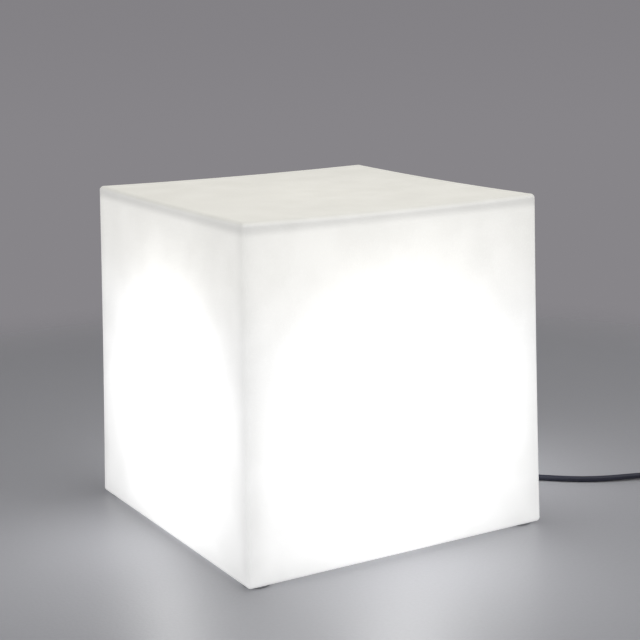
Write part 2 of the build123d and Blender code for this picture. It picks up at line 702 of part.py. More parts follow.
def bulb_globe():
    """The diffusing dome: a short collar on the housing, then a ball."""
    centre = HOUSING_TOP + GLOBE_COLLAR
    skin = GLOBE_R - GLOBE_WALL
    outer = disc(GLOBE_R, HOUSING_TOP, centre) + Pos(0, 0, centre) * Sphere(GLOBE_R)
    inner = disc(skin, HOUSING_TOP - GLOBE_R, centre) + Pos(0, 0, centre) * Sphere(skin)
    globe = outer - inner
    return globe & block((-SIDE, SIDE), (-SIDE, SIDE), (HOUSING_TOP, SIDE))


# ---- terminal block and leads ----
def terminal_block():
    half_y = BLOCK_SIZE[1] / 2
    body = block((BLOCK_LOW_X, BLOCK_HIGH_X), (-half_y, half_y), (WELL_FLOOR, BLOCK_TOP))
    body = chamfer(body.edges().filter_by(Axis.X).group_by(Axis.Z)[-1], 1.2)
    for y in (-POLE_Y, POLE_Y):
        body -= along_x(disc(WIRE_HOLE_R, 0, BLOCK_SIZE[0]), BLOCK_LOW_X, y, WIRE_Z)
        for x in TERMINAL_X:
            body -= disc(TERMINAL_SCREW_R + SEAT_GAP, WIRE_Z, BLOCK_TOP, (x, y))
    body -= disc(M3_R + SCREW_GAP, WELL_FLOOR, BLOCK_TOP, (BLOCK_X, 0))
    body -= disc(M3_HEAD_R + SCREW_GAP, BLOCK_TOP - TERMINAL_POCKET, BLOCK_TOP, (BLOCK_X, 0))
    return body


def terminal_screws():
    screws = []
    for y in (-POLE_Y, POLE_Y):
        for x in TERMINAL_X:
            low = WIRE_Z + WIRE_R + SEAT_GAP
            one = disc(TERMINAL_SCREW_R, low, low + TERMINAL_SCREW_L, (x, y))
            slot_z = (low + TERMINAL_SCREW_L - 0.8, low + TERMINAL_SCREW_L)
            screws.append(one - block((x - 3, x + 3), (y - 0.3, y + 0.3), slot_z))
    return screws


def block_screw():
    top = BLOCK_TOP - TERMINAL_POCKET
    return Pos(BLOCK_X, 0, top) * (Rot(180, 0, 0) * screw(M3_R, M3_HEAD_R, M3_HEAD_H, top - WELL_Z - 1.5))


def lampholder_lead(side):
    """One lead from the terminal block up through the nipple into the lampholder."""
    y_block = side * POLE_Y
    y_rise = side * WIRE_SIDE
    points = [
        Vector(TERMINAL_X[0], y_block, WIRE_Z),
        Vector(BLOCK_LOW_X - LEAD_OUT, y_block, WIRE_Z),
        Vector(BLOCK_LOW_X - LEAD_OUT + LEAD_LEAN, y_block * LEAD_PINCH, WIRE_Z + LEAD_RISE),
        Vector(0, y_rise, BRACKET_Z - LEAD_STRAIGHT),
        Vector(0, y_rise, CORE_TOP - LEAD_SHORT),
    ]
    return tube(points, bend_radii(points), WIRE_R)[0]


def cord_core(side):
    """One core of the cord, from the end of its sheath to the terminal block."""
    points = [
        Vector(SHEATH_END_X, side * CORD_R * CORE_APART, GLAND_Z),
        Vector(SHEATH_END_X - CORE_STRAIGHT, side * CORD_R * CORE_APART, GLAND_Z),
        Vector(BLOCK_HIGH_X + CORE_STRAIGHT, side * POLE_Y, WIRE_Z),
        Vector(TERMINAL_X[1], side * POLE_Y, WIRE_Z),
    ]
    return tube(points, bend_radii(points), WIRE_R)[0]


# ---- cord clamp and gland ----
def cord_clamp():
    low = GLAND_Z + CORD_R + SEAT_GAP
    span = CLAMP_SCREW_Y + CLAMP_BOSS_R
    bar = block((CLAMP_X - CLAMP_W / 2, CLAMP_X + CLAMP_W / 2), (-span, span), (low, low + CLAMP_T))
    bar = fillet(bar.edges().filter_by(Axis.Z), CLAMP_W * 0.4)
    for y in (-CLAMP_SCREW_Y, CLAMP_SCREW_Y):
        bar -= disc(M3_R + SCREW_GAP, low, low + CLAMP_T, (CLAMP_X, y))
    return bar


def clamp_screws():
    top = GLAND_Z + CORD_R + SEAT_GAP + CLAMP_T
    one = Rot(180, 0, 0) * screw(M3_R, M3_HEAD_R, M3_HEAD_H, CLAMP_SCREW_L - 0.5)
    return [Pos(CLAMP_X, y, top) * one for y in (-CLAMP_SCREW_Y, CLAMP_SCREW_Y)]


def clamped_cord():
    """The cord's own end: from the mouth of the strain relief back through the gland to the clamp."""
    return along_x(disc(CORD_R, 0, EXIT_X - SHEATH_END_X), SHEATH_END_X, 0, GLAND_Z)


def gland_body():
    thread_start = GLAND_FACE_X - GLAND_THREAD_L
    thread = disc(GLAND_THREAD_R, 0, GLAND_THREAD_L)
    flange = hexagon(GLAND_AF, GLAND_THREAD_L, GLAND_THREAD_L + GLAND_FLANGE_T)
    collet_end = GLAND_THREAD_L + GLAND_FLANGE_T + GLAND_COLLET_L
    collet = disc(GLAND_COLLET_R, GLAND_THREAD_L + GLAND_FLANGE_T, collet_end)
    body = thread + flange + collet - disc(GLAND_BORE_R, 0, collet_end)
    seal_low = GLAND_THREAD_L + GLAND_FLANGE_T + 2
    body -= disc(GLAND_SEAL_R + SEAT_GAP, seal_low, collet_end)
    return along_x(body, thread_start, 0, GLAND_Z)


def gland_seal():
    low = GLAND_HEX_END_X + 2
    length = GLAND_COLLET_L - 2
    return along_x(disc(GLAND_SEAL_R, 0, length) - disc(CORD_R + SEAT_GAP, 0, length), low, 0, GLAND_Z)


def gland_oring():
    ring = disc(ORING_R, 0, ORING_T) - disc(GLAND_THREAD_R + SEAT_GAP, 0, ORING_T)
    return along_x(ring, GLAND_PAD_OUT, 0, GLAND_Z)


def gland_locknut():
    nut = hexagon(GLAND_AF, 0, GLAND_LOCKNUT_T)
    nut -= disc(GLAND_THREAD_R + SEAT_GAP, 0, GLAND_LOCKNUT_T)
    nut &= disc(GLAND_AF / 2 * 1.09, 0, GLAND_LOCKNUT_T)
    return along_x(nut, GLAND_PAD_IN - GLAND_LOCKNUT_T, 0, GLAND_Z)


def gland_nut():
    """The dome nut: a hexagon, then a dome down to the cord."""
    lip_r = CORD_R + SEAT_GAP
    dome = turned([
        (0, 0),
        (GLAND_AF * 0.545, 0),
        (GLAND_AF * 0.545, GLAND_NUT_HEX_L),
        (GLAND_AF * 0.46, GLAND_NUT_HEX_L + 1),
        (GLAND_AF * 0.40, GLAND_NUT_L - 3),
        (RELIEF_BIG_R, GLAND_NUT_L),
        (0, GLAND_NUT_L),
    ])
    hexed = hexagon(GLAND_AF, 0, GLAND_NUT_HEX_L) + disc(GLAND_AF, GLAND_NUT_HEX_L, GLAND_NUT_L)
    nut = (dome & hexed) - disc(GLAND_COLLET_R + SEAT_GAP, 0, GLAND_COLLET_L)
    nut -= disc(lip_r, GLAND_COLLET_L, GLAND_NUT_L)
    return along_x(nut, NUT_X, 0, GLAND_Z)


def grooved_cone(big_r, small_r, length, bore_r):
    """A tapered sleeve with grooves that let it bend, built up Z from its big end."""
    cone = turned([(bore_r, 0), (big_r, 0), (small_r, length), (bore_r, length)])
    step = length / (RELIEF_GROOVES + 2)
    for index in range(RELIEF_GROOVES):
        low = step * (index + 1.4)
        radius = big_r + (small_r - big_r) * low / length
        cone -= disc(big_r + 1, low, low + step * 0.3) - disc(radius - RELIEF_GROOVE, low, low + step * 0.3)
    return cone


def strain_relief():
    sleeve = grooved_cone(RELIEF_BIG_R, RELIEF_SMALL_R, RELIEF_L, CORD_R + SEAT_GAP)
    return along_x(sleeve, RELIEF_X, 0, GLAND_Z)


# ---- free cord, coil and plug ----
def free_cord():
    radii = bend_radii(CORD_ROUTE)
    solid, path = tube(CORD_ROUTE, radii, CORD_R)
    length = path.length
    print("cord radii", [round(radius, 1) for radius in radii], "floor", 5 * 2 * CORD_R)
    print("cord length", round(length, 1))
    print("cord volume over section x length", solid.volume / (pi * CORD_R**2 * length))
    return solid


def coil_stations():
    """Radius and height after each half turn: in along the floor, up a layer, and out again on top."""
    climb = COIL_HALF_TURNS // 2
    stations = []
    for index in range(COIL_HALF_TURNS + 1):
        steps = climb - index if index <= climb else index - climb - 1
        radius = COIL_INNER_R + steps * COIL_PITCH / 2 + (COIL_DRAWN_IN if steps else 0)
        stations.append((radius, COIL_LOW_Z if index <= climb else COIL_HIGH_Z))
    return stations


def tangent_arcs(points, way):
    """Arcs through the points, each leaving in the direction in which the last one arrived."""
    arcs = []
    for start, end in zip(points, points[1:]):
        arcs.append(TangentArc(start, end, tangent=way))
        chord = (end - start).normalized()
        way = chord * (2 * chord.dot(way)) - way
    return arcs


def on_coil(radius, z, outward):
    return Vector(COIL_CENTRE.X, COIL_CENTRE.Y, z) + outward * radius


COIL_END = on_coil(*coil_stations()[-1], COIL_RIGHT * -1)
TAIL_END = COIL_END + COIL_HEADING * TAIL_RUN + Vector(0, 0, PLUG_R + CORD_LIE - COIL_HIGH_Z)
BOOT_AT = TAIL_END + COIL_HEADING * 2 * CORD_R


def coil_path():
    """Straight in, half turns of two arcs each, an easy rise to the plug, and straight into its boot."""
    stations = coil_stations()
    points = [COIL_START]
    outward = COIL_RIGHT * -1
    way = COIL_HEADING
    for here, there in zip(stations, stations[1:]):
        start = on_coil(*here, outward)
        end = on_coil(*there, outward * -1)
        points.append((start + end) * 0.5 + way * ((end - start).length / 2))
        points.append(end)
        outward = outward * -1
        way = way * -1
    points.append((COIL_END + TAIL_END) * 0.5)
    points.append(TAIL_END)
    arcs = tangent_arcs(points, COIL_HEADING)
    return Wire([Line(CORD_ROUTE[-1], COIL_START), *arcs, Line(TAIL_END, BOOT_AT)])


def least_gap(path, step, apart):
    """The least space between stretches of a round tube, measured on points along its line."""
    count = int(path.length / step)
    points = [path.position_at(index / count) for index in range(count + 1)]
    skip = int(apart / step)
    least = path.length
    for index, point in enumerate(points):
        for other in points[index + skip :]:
            least = min(least, (other - point).length)
    return least - 2 * CORD_R


def cord_coil():
    path = coil_path()
    solid = sweep(Plane(path @ 0, z_dir=path % 0) * Circle(CORD_R), path=path)
    print("coil length", round(path.length, 1), "turns", COIL_HALF_TURNS / 2)
    print("coil volume over section x length", solid.volume / (pi * CORD_R**2 * path.length))
    print("coil least gap", round(least_gap(path, 2.0, 2 * COIL_INNER_R), 3))
    return solid


def coil_tie():
    """A strap round the bundle, on the side away from where the cord comes in."""
    inner_low = COIL_LOW_Z - CORD_R - TIE_GAP
    inner_high = COIL_HIGH_Z + CORD_R + TIE_GAP
    inner_from = COIL_INNER_R - CORD_R - TIE_GAP
    inner_to = COIL_OUTER_R - COIL_PITCH / 2 + CORD_R + TIE_GAP
    middle = ((inner_from + inner_to) / 2, (inner_low + inner_high) / 2)
    hole = Rectangle(inner_to - inner_from, inner_high - inner_low)
    band = fillet(offset(hole, TIE_T, kind=Kind.INTERSECTION).vertices(), TIE_T) - hole
    section = Plane.XZ * (Pos(*middle) * band)
    strap = Rot(0, 0, -TIE_ANGLE / 2) * revolve(section, Axis.Z, TIE_ANGLE)
    away = Plane(origin=(COIL_CENTRE.X, COIL_CENTRE.Y, 0), x_dir=COIL_RIGHT, z_dir=(0, 0, 1))
    return away * strap


def at_plug(solid):
    """Turn a solid built up Z into the plug's line, with its foot where the boot starts."""
    return Plane(origin=BOOT_AT, x_dir=(0, 0, 1), z_dir=COIL_HEADING) * solid


def plug_boot():
    sleeve = Rot(180, 0, 0) * grooved_cone(PLUG_BOOT_BIG_R, PLUG_BOOT_SMALL_R, PLUG_BOOT_L, CORD_R)
    sleeve = Pos(0, 0, PLUG_BOOT_L) * sleeve
    inside = disc(CORD_R, SEAT_GAP, PLUG_BOOT_L)
    return at_plug(sleeve + inside)


def plug_body():
    """A round two-pin plug: a waisted grip, then a face flattened on two sides."""
    body = turned([
        (0, PLUG_BOOT_L),
        (PLUG_GRIP_R - PLUG_SHOULDER, PLUG_BOOT_L),
        (PLUG_GRIP_R, PLUG_BOOT_L + PLUG_SHOULDER),
        (PLUG_GRIP_R, PLUG_BOOT_L + PLUG_GRIP_L * PLUG_WAIST),
        (PLUG_R, PLUG_FACE_Z),
        (PLUG_R, PLUG_FRONT_Z - PLUG_EDGE),
        (PLUG_R - PLUG_EDGE, PLUG_FRONT_Z),
        (0, PLUG_FRONT_Z),
    ])
    half = PLUG_NOTCH_W / 2
    notch = block((PLUG_FLAT, SIDE), (-half, half), (PLUG_FACE_Z - PLUG_NOTCH_BACK, PLUG_FRONT_Z))
    body -= notch
    body -= Rot(0, 0, 180) * notch
    for y in (-PIN_SPACING / 2, PIN_SPACING / 2):
        body -= disc(PIN_ROOT_R + SEAT_GAP, PLUG_FRONT_Z - PIN_SEAT, PLUG_FRONT_Z, (0, y))
    return at_plug(body)


def plug_pins():
    pins = []
    for y in (-PIN_SPACING / 2, PIN_SPACING / 2):
        free = disc(PIN_R, PLUG_FRONT_Z + PIN_NECK, PLUG_FRONT_Z + PIN_LENGTH, (0, y))
        free = fillet(free.edges().group_by(Axis.Z)[-1], PIN_TIP)
        root = disc(PIN_ROOT_R, PLUG_FRONT_Z - PIN_SEAT, PLUG_FRONT_Z + PIN_NECK, (0, y))
        pins.append(at_plug(free + root))
    return pins


# ---- write every piece ----
os.makedirs("parts", exist_ok=True)

save("diffuser_shell", diffuser_shell())
save("foot_pads", foot_pads())
save("threaded_inserts", threaded_inserts())
save("base_plate", base_plate())
save("base_gasket", base_gasket())
save("base_screws", base_screws())
save("vent_plug", vent_plug())
save("lampholder_bracket", lampholder_bracket())
save("bracket_screws", bracket_screws())
save("lampholder_nipple", lampholder_nipple())
save("nipple_nut", nipple_nut())
save("lampholder_cap", lampholder_cap())
save("lampholder_sleeve", lampholder_sleeve())
save("lampholder_core", lampholder_core())
save("contact_shell", contact_shell())
save("centre_contact", centre_contact())
save("bulb_cap", bulb_cap())
save("bulb_cap_insulator", bulb_cap_insulator())
save("bulb_centre_contact", bulb_centre_contact())
save("bulb_housing", bulb_housing())
save("bulb_led_board", bulb_led_board())
save("bulb_led_chips", bulb_led_chips())
save("bulb_globe", bulb_globe())
save("terminal_block", terminal_block())
save("terminal_screws", terminal_screws())
save("terminal_block_screw", block_screw())
save("lead_live", lampholder_lead(1))
save("lead_neutral", lampholder_lead(-1))
save("core_live", cord_core(1))
save("core_neutral", cord_core(-1))
save("cord_clamp", cord_clamp())
save("clamp_screws", clamp_screws())
save("clamped_cord", clamped_cord())
save("gland_body", gland_body())
save("gland_seal", gland_seal())
save("gland_oring", gland_oring())
save("gland_locknut", gland_locknut())
save("gland_nut", gland_nut())
save("strain_relief", strain_relief())
save("cord", free_cord())
save("cord_coil", cord_coil())
save("coil_tie", coil_tie())
save("plug_boot", plug_boot())
save("plug_body", plug_body())
save("plug_pins", plug_pins())
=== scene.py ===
from math import copysign, cos, pi, radians, sin

import bpy
from mathutils import Matrix, Vector


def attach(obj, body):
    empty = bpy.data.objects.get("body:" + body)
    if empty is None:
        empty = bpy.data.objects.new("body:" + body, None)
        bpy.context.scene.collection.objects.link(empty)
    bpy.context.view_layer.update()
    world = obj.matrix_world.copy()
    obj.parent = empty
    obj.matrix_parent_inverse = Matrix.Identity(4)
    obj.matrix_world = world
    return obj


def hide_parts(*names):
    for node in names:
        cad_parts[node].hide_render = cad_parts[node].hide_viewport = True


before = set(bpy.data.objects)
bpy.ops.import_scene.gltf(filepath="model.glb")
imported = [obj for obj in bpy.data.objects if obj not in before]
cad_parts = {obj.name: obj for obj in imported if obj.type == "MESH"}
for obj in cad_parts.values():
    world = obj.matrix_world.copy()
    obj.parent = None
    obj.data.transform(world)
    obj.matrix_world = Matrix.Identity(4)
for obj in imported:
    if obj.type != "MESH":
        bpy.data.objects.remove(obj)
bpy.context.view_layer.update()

# Everything is in metres, in the CAD model's frame: the origin is on the floor under the middle of the cube.

# ---- the cube and its glow ----
HALF = 0.2
MIDDLE = Vector((0.0, 0.0, HALF))
LAMP_AT = Vector((0.0, 0.0, 0.155))  # a little below the bulb's globe, where the glow has its middle
RIDGE_WIDTH = 0.03  # how far from a ridge the plastic starts to dim
RIDGE_CORE = 0.003  # how far from it the plastic is at its dimmest
RIDGE_DIM = 0.14  # share of the glow that is gone on the ridge itself
TOP_RIDGE_WIDTH = 0.018
TOP_RIDGE_CORE = 0.008  # the sides lean in by about as much
TOP_RIDGE_DIM = 0.33
GLOW_EVEN = 0.355  # what the light thrown about inside adds everywhere
LAMP_GLOWS = [(0.55, 3.0), (3.8, 15.0)]  # its wide and close glow: strength at a side's middle, fall
TOP_LAMP_SHARE = 0.08  # how much of the lamp's own glow shows on top
LOW_GLOW_COLOUR = (1.0, 1.0, 1.0)
HIGH_GLOW_COLOUR = (1.0, 0.985, 0.94)
WARM_FROM, WARM_TO = 0.22, 0.38  # heights between which the sides' glow turns warmer
TOP_GLOW_COLOUR = (0.895, 0.86, 0.737)

# ---- camera ----
CAMERA_AT = Vector((-0.89559, -1.53863, 0.62986))
CAMERA_TURN = -30.53661  # degrees round from straight in front, to the left
CAMERA_TILT = 12.36531  # degrees down
CAMERA_ROLL = -0.87832
CAMERA_LENS = 84.072  # mm
CAMERA_SENSOR = 36.0  # mm

# ---- cord ----
CORD_RADIUS = 0.00375
CORD_SECTION_STEPS = 5
CORD_RUN_STEPS = 8  # between two of its points
CORD_ORDER = 3  # of its curve, which then bends smoothly past each point
# Heights of the cord's middle: in the gland, on the floor, and in the coil's layers, over the tie's strap.
GLAND_Z, FLOOR_Z, COIL_LOW_Z, COIL_HIGH_Z = 0.017, 0.00385, 0.00535, 0.01355
CORD_ROUTE = [
    Vector((0.101, 0.0, GLAND_Z)),
    Vector((0.122, 0.0, GLAND_Z)),
    Vector((0.158, 0.0005, FLOOR_Z)),
    Vector((0.203, 0.004, FLOOR_Z)),
    Vector((0.246, -0.016, FLOOR_Z)),
    Vector((0.306, -0.079, FLOOR_Z)),
    Vector((0.352, -0.117, FLOOR_Z)),
    Vector((0.417, -0.143, COIL_LOW_Z)),
    Vector((0.470, -0.163, COIL_LOW_Z)),
]
COIL_PITCH = 0.008  # from turn to turn
COIL_INNER_R = 0.030
COIL_DRAWN_IN = 0.0015  # how much further in the innermost turn is pulled
COIL_HALF_TURNS = 16
COIL_STEPS = 9  # control points in each half turn
COIL_OUTER_R = COIL_INNER_R + COIL_DRAWN_IN + COIL_HALF_TURNS / 2 * COIL_PITCH / 2
TAIL_RUN = 0.034  # over which it rises from the coil's end
TAIL_RISE = 0.00505
TAIL_BENDS = [(0.3, 0.1), (0.7, 0.9)]  # points on the way, as shares of its run and its rise
TAIL_STRAIGHT = 0.0075  # then level, up to the plug's boot
HEADING = (CORD_ROUTE[-1] - CORD_ROUTE[-2]).normalized()
RIGHT = Vector((HEADING.y, -HEADING.x, 0.0))
COIL_START = CORD_ROUTE[-1] + HEADING * 2 * CORD_RADIUS
COIL_CENTRE = COIL_START + RIGHT * COIL_OUTER_R

# ---- tie round the coil ----
TIE_WIDTH = 0.011
TIE_THICKNESS = 0.001
TIE_GAP = 0.0006
TIE_CORNER = 0.0035
TIE_CORNER_STEPS = 8
TIE_SIDE_STEPS = 12
TIE_SECTION_STEPS = 16
TIE_SQUARE_WIDE = 0.35  # powers under 1 turn the section's oval into a flat strap with round edges
TIE_SQUARE_DEEP = 0.6
TIE_FLAP_FROM = 0.10  # where the loose end lies on the strap, as shares of the way round
TIE_FLAP_TO = 0.42

# ---- finishes: sizes in metres, colours and shares from 0 to 1 ----
NOISE_LOW, NOISE_HIGH = 0.3, 0.7  # between these a noise is read as 0 to 1
CLOUD_DETAIL, GRAIN_DETAIL = 3.0, 4.0  # how often finer spots are laid over a noise
CLOUD_SIZE = 0.03  # of the faint clouds in a moulded colour
CLOUD_DEPTH = 0.05
SPECK_LOW, SPECK_HIGH = 0.94, 1.04
GLOSS_SPREAD = 0.06

SHELL_COLOURS = [(0.81, 0.81, 0.785), (0.85, 0.85, 0.83)]
SHELL_ROUGHNESS = (0.42, 0.56)
SHELL_CLOUD = 0.05
SHELL_CLOUD_GLOW = 0.03  # how much the clouds in the plastic change its glow
PEEL_SIZE, PEEL_DEPTH, PEEL_DETAIL = 0.0022, 0.00006, 2.0
WAVE_SIZE, WAVE_DEPTH, WAVE_DETAIL = 0.06, 0.0012, 1.0
UPWARD_FROM, UPWARD_TO = 0.25, 0.95  # from a side to the top, by how far up the surface faces

LIT_CLOUD, LIT_DIM = 0.02, 0.96
LIT_ROUGHNESS, LIT_GRAIN, LIT_GRAIN_DEPTH = 0.45, 0.0006, 0.00002
GLOBE_COLOUR, GLOBE_STRENGTH = (1.0, 0.97, 0.90), 1.6
CHIP_COLOUR, CHIP_STRENGTH = (1.0, 0.86, 0.42), 2.0

CORD_COLOUR, CORD_DUST = (0.021, 0.023, 0.042), (0.050, 0.052, 0.066)
CORD_ROUGHNESS = 0.40
CORD_GRAIN, CORD_GRAIN_DEPTH = 0.0012, 0.00006
DUST_SIZE, DUST_DETAIL = 0.012, 6.0
DUST_FROM, DUST_TO = 0.55, 0.80

TAPE_COLOURS = [(0.012, 0.012, 0.013), (0.05, 0.05, 0.052)]
RIBS_PER_METRE, THREADS_PER_METRE = 260.0, 420.0
WEAVE_WANDER, WEAVE_DEPTH = 0.5, 0.0002
TAPE_ROUGHNESS, TAPE_SHEEN = 0.9, 0.4

SPANGLE_COLOURS = [(0.50, 0.51, 0.53), (0.68, 0.69, 0.70)]
SPANGLE_ROUGHNESS = (0.28, 0.46)
SPANGLE_GRAIN, SPANGLE_GRAIN_DEPTH = 0.0008, 0.00001
SPANGLES_PER_METRE = 170.0

FLOOR_GRAIN, FLOOR_GRAIN_DEPTH, FLOOR_MOTTLE = 0.004, 0.00005, 0.015

# ---- floor, backdrop and light ----
FLOOR_RADIUS = 1.45
FLOOR_SIDES = 96
FLOOR_FADE_FROM = 0.92  # how far out it starts to fade into the backdrop
FLOOR_FADE_TO = 1.36
FLOOR_COLOUR = (0.422, 0.425, 0.449)
FLOOR_ROUGHNESS = 0.40
BACKDROP_COLOUR = (0.236, 0.228, 0.243)
BACKDROP_TOP = 0.97  # brightness level with the eye, against that below it
BACKDROP_TURN = -0.10  # sine of the angle below the eye where it is brightest
WORLD_LIGHT = 0.30
LAMPS = [  # name, place, size and power
    ("key", (0.7, -1.3, 2.5), 2.4, 19.5),
    ("fill", (-1.7, -1.1, 1.9), 1.8, 9.0),
]


# ---- small helpers ----
def add_node(tree, kind, inputs=None, **settings):
    """A new shader node. An input is a plain value, or an output that is linked to it."""
    made = tree.nodes.new(kind)
    for name, value in settings.items():
        setattr(made, name, value)
    for name, value in (inputs or {}).items():
        if isinstance(value, bpy.types.NodeSocket):
            tree.links.new(value, made.inputs[name])
        else:
            made.inputs[name].default_value = value
    return made


def maths(tree, operation, first, second=0.0):
    return add_node(tree, "ShaderNodeMath", {0: first, 1: second}, operation=operation).outputs[0]


def ramp(tree, value, low, high, result_low=0.0, result_high=1.0, soft=True):
    """Carry a value from one range to another, with soft ends."""
    made = add_node(
        tree,
        "ShaderNodeMapRange",
        {"Value": value, "From Min": low, "From Max": high, "To Min": result_low, "To Max": result_high},
        interpolation_type="SMOOTHSTEP" if soft else "LINEAR",
    )
    return made.outputs["Result"]


def tint(tree, share, first, second):
    """Mix two colours, each a tuple or an output."""
    made = add_node(tree, "ShaderNodeMix", {"Factor": share}, data_type="RGBA")
    # The node's colours are its inputs 6 and 7, and its output 2.
    for socket, colour in ((made.inputs[6], first), (made.inputs[7], second)):
        if isinstance(colour, bpy.types.NodeSocket):
            tree.links.new(colour, socket)
        else:
            socket.default_value = (*colour, 1.0)
    return made.outputs[2]


def link(tree, output, shader, name):
    tree.links.new(output, shader.inputs[name])


def component(tree, vector, axis):
    return add_node(tree, "ShaderNodeSeparateXYZ", {0: vector}).outputs[axis]


def scale_colour(tree, colour, factor):
    return add_node(tree, "ShaderNodeVectorMath", {0: colour, "Scale": factor}, operation="SCALE").outputs[0]


def object_place(tree):
    return add_node(tree, "ShaderNodeTexCoord").outputs["Object"]


def noise(tree, place, size, detail):
    """A noise of spots about that size in metres."""
    made = add_node(tree, "ShaderNodeTexNoise", {"Vector": place, "Scale": 1.0 / size, "Detail": detail})
    return made.outputs["Fac"]


def scaled(colour, factor):
    """A plain colour, made brighter or darker."""
    return tuple(min(1.0, channel * factor) for channel in colour)


def bump(tree, height, depth, normal=None):
    """A bump of a height from 0 to 1, that deep in metres."""
    inputs = {"Height": height, "Distance": depth, "Strength": 1.0}
    if normal is not None:
        inputs["Normal"] = normal
    return add_node(tree, "ShaderNodeBump", inputs).outputs["Normal"]


def new_finish(name):
    """An empty material with its output and one Principled shader."""
    material = bpy.data.materials.new(name)
    material.use_nodes = True
    tree = material.node_tree
    tree.nodes.clear()
    shader = add_node(tree, "ShaderNodeBsdfPrincipled")
    add_node(tree, "ShaderNodeOutputMaterial", {"Surface": shader.outputs[0]})
    return material, tree, shader


# ---- finishes ----
def clouds(tree, place, size, detail=CLOUD_DETAIL):
    """A noise read as 0 to 1."""
    return ramp(tree, noise(tree, place, size, detail), NOISE_LOW, NOISE_HIGH)


def moulded(name, colour, roughness, grain, depth, metallic=0.0):
    """Moulded plastic, rubber or metal: fine grain, faint clouds in its colour and uneven gloss."""
    material, tree, shader = new_finish(name)
    place = object_place(tree)
    fine = clouds(tree, place, grain, GRAIN_DETAIL)
    dark, pale = scaled(colour, 1.0 - CLOUD_DEPTH), scaled(colour, 1.0 + CLOUD_DEPTH)
    base = tint(tree, clouds(tree, place, CLOUD_SIZE), dark, pale)
    speck = ramp(tree, fine, 0.0, 1.0, SPECK_LOW, SPECK_HIGH, soft=False)
    link(tree, scale_colour(tree, base, speck), shader, "Base Color")
    gloss = ramp(tree, fine, 0.0, 1.0, roughness - GLOSS_SPREAD, roughness + GLOSS_SPREAD, soft=False)
    link(tree, gloss, shader, "Roughness")
    link(tree, bump(tree, fine, depth), shader, "Normal")
    shader.inputs["Metallic"].default_value = metallic
    return material, tree, shader


def ridge_dimming(tree, place):
    """1 on the faces, and less along the cube's edges: most along those round the top."""
    centred = add_node(tree, "ShaderNodeVectorMath", {0: place, 1: MIDDLE}, operation="SUBTRACT").outputs[0]
    flat = add_node(tree, "ShaderNodeVectorMath", {0: centred}, operation="ABSOLUTE").outputs[0]
    across, along, height = component(tree, flat, 0), component(tree, flat, 1), component(tree, centred, 2)
    outermost = maths(tree, "MAXIMUM", across, along)
    upright = maths(tree, "MINIMUM", across, along)
    lowest = maths(tree, "MINIMUM", outermost, maths(tree, "MULTIPLY", height, -1.0))
    highest = maths(tree, "MINIMUM", outermost, height)
    nearest = maths(tree, "MAXIMUM", upright, lowest)
    sides = ramp(tree, nearest, HALF - RIDGE_WIDTH, HALF - RIDGE_CORE, 1.0, 1.0 - RIDGE_DIM)
    top = ramp(tree, highest, HALF - TOP_RIDGE_WIDTH, HALF - TOP_RIDGE_CORE, 1.0, 1.0 - TOP_RIDGE_DIM)
    return maths(tree, "MULTIPLY", sides, top)


def shell_glow(tree, place, upward):
    """How strongly the lamp inside lights the plastic: less far from it, on top and along the edges."""
    away = add_node(tree, "ShaderNodeVectorMath", {0: place, 1: LAMP_AT}, operation="DISTANCE").outputs[1]
    nearness = maths(tree, "DIVIDE", HALF, away)
    lamp = 0.0
    for strength, fall in LAMP_GLOWS:
        part = maths(tree, "MULTIPLY", maths(tree, "POWER", nearness, fall), strength)
        lamp = maths(tree, "ADD", part, lamp)
    lamp = maths(tree, "MULTIPLY", lamp, ramp(tree, upward, 0.0, 1.0, 1.0, TOP_LAMP_SHARE, soft=False))
    glow = maths(tree, "ADD", lamp, GLOW_EVEN)
    return maths(tree, "MULTIPLY", glow, ridge_dimming(tree, place))


def opal_shell_finish():
    """Milky polyethylene, lit from inside."""
    material, tree, shader = new_finish("opal_shell_finish")
    place = object_place(tree)
    normal = add_node(tree, "ShaderNodeTexCoord").outputs["Normal"]
    upward = ramp(tree, component(tree, normal, 2), UPWARD_FROM, UPWARD_TO)
    cloud = clouds(tree, place, SHELL_CLOUD, GRAIN_DETAIL)
    uneven = ramp(tree, cloud, 0.0, 1.0, 1.0 - SHELL_CLOUD_GLOW, 1.0 + SHELL_CLOUD_GLOW, soft=False)
    glow = maths(tree, "MULTIPLY", shell_glow(tree, place, upward), uneven)
    warmth = ramp(tree, component(tree, place, 2), WARM_FROM, WARM_TO)
    colour = tint(tree, upward, tint(tree, warmth, LOW_GLOW_COLOUR, HIGH_GLOW_COLOUR), TOP_GLOW_COLOUR)
    link(tree, scale_colour(tree, colour, glow), shader, "Emission Color")
    shader.inputs["Emission Strength"].default_value = 1.0
    link(tree, tint(tree, cloud, *SHELL_COLOURS), shader, "Base Color")
    peel = clouds(tree, place, PEEL_SIZE, PEEL_DETAIL)
    waves = bump(tree, noise(tree, place, WAVE_SIZE, WAVE_DETAIL), WAVE_DEPTH)
    link(tree, bump(tree, peel, PEEL_DEPTH, waves), shader, "Normal")
    link(tree, ramp(tree, peel, 0.0, 1.0, *SHELL_ROUGHNESS, soft=False), shader, "Roughness")
    return material


def lit_finish(name, colour, strength):
    """A moulded finish that gives light: the bulb's globe and its chips."""
    material, tree, shader = moulded(name, colour, LIT_ROUGHNESS, LIT_GRAIN, LIT_GRAIN_DEPTH)
    cloud = clouds(tree, object_place(tree), LIT_CLOUD)
    link(tree, tint(tree, cloud, scaled(colour, LIT_DIM), colour), shader, "Emission Color")
    shader.inputs["Emission Strength"].default_value = strength
    return material


